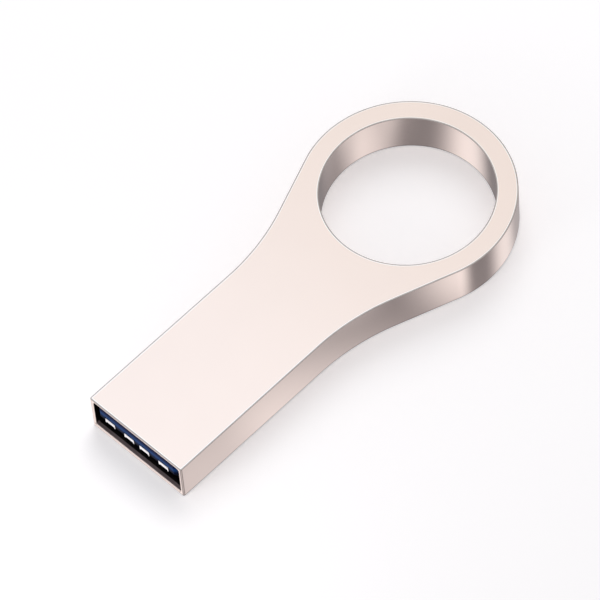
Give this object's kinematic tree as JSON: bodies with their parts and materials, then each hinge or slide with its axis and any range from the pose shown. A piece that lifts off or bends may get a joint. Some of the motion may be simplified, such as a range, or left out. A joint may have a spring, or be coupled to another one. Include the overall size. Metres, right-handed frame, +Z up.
{
  "type": "usb flash drive",
  "caption": "Flat metal flash drive whose plug stem flares into a large key ring, with a blue tongue and sprung contacts in its open mouth.",
  "frame": {"origin": "centre of the bounding box's bottom face: under the flat body, halfway along its length", "axes": "+Y from the plug mouth towards the key ring, +Z up through the thickness, +X across the plug"},
  "size_m": [0.0212, 0.0476, 0.0045],
  "materials": {
    "satin_nickel": "satin",
    "blue_insulator": "satin",
    "black_insulator": "matte",
    "plated_contact": "polished",
    "gold_contact": "polished",
    "circuit_board": "satin",
    "chip_package": "matte",
    "crystal_can": "satin",
    "tan_ceramic": "matte",
    "black_ceramic": "matte"
  },
  "bodies": {
    "drive_body": {"metal_body": "satin_nickel", "tongue": "blue_insulator", "contact_block": "black_insulator", "long_contact_1": "plated_contact", "long_contact_2": "plated_contact", "long_contact_3": "plated_contact", "long_contact_4": "plated_contact", "contact_tail_1": "gold_contact", "contact_tail_2": "gold_contact", "contact_tail_3": "gold_contact", "contact_tail_4": "gold_contact", "contact_tail_5": "gold_contact", "circuit_board": "circuit_board", "memory_chip": "chip_package", "controller_chip": "chip_package", "crystal": "crystal_can", "voltage_regulator": "chip_package", "capacitor_1": "tan_ceramic", "capacitor_2": "tan_ceramic", "capacitor_3": "tan_ceramic", "capacitor_4": "tan_ceramic", "capacitor_5": "tan_ceramic", "capacitor_6": "tan_ceramic", "capacitor_7": "tan_ceramic", "bulk_capacitor_1": "tan_ceramic", "bulk_capacitor_2": "tan_ceramic", "resistor_1": "black_ceramic", "resistor_2": "black_ceramic", "carrier_upper": "black_insulator", "carrier_lower": "black_insulator"},
    "spring_1": {"contact_spring_1": "gold_contact"},
    "spring_2": {"contact_spring_2": "gold_contact"},
    "spring_3": {"contact_spring_3": "gold_contact"},
    "spring_4": {"contact_spring_4": "gold_contact"},
    "spring_5": {"contact_spring_5": "gold_contact"}
  },
  "joints": [
    {"name": "spring_1_flex", "type": "hinge", "parent": "drive_body", "child": "spring_1", "pos_m": [-0.004, -0.01275, 0.00215], "axis": [-1, 0, 0], "range_deg": [0, 7], "stiffness_Nm_per_rad": 0.006},
    {"name": "spring_2_flex", "type": "hinge", "parent": "drive_body", "child": "spring_2", "pos_m": [-0.002, -0.01275, 0.00215], "axis": [-1, 0, 0], "range_deg": [0, 7], "stiffness_Nm_per_rad": 0.006},
    {"name": "spring_3_flex", "type": "hinge", "parent": "drive_body", "child": "spring_3", "pos_m": [0, -0.01275, 0.00215], "axis": [-1, 0, 0], "range_deg": [0, 7], "stiffness_Nm_per_rad": 0.006},
    {"name": "spring_4_flex", "type": "hinge", "parent": "drive_body", "child": "spring_4", "pos_m": [0.002, -0.01275, 0.00215], "axis": [-1, 0, 0], "range_deg": [0, 7], "stiffness_Nm_per_rad": 0.006},
    {"name": "spring_5_flex", "type": "hinge", "parent": "drive_body", "child": "spring_5", "pos_m": [0.004, -0.01275, 0.00215], "axis": [-1, 0, 0], "range_deg": [0, 7], "stiffness_Nm_per_rad": 0.006}
  ]
}
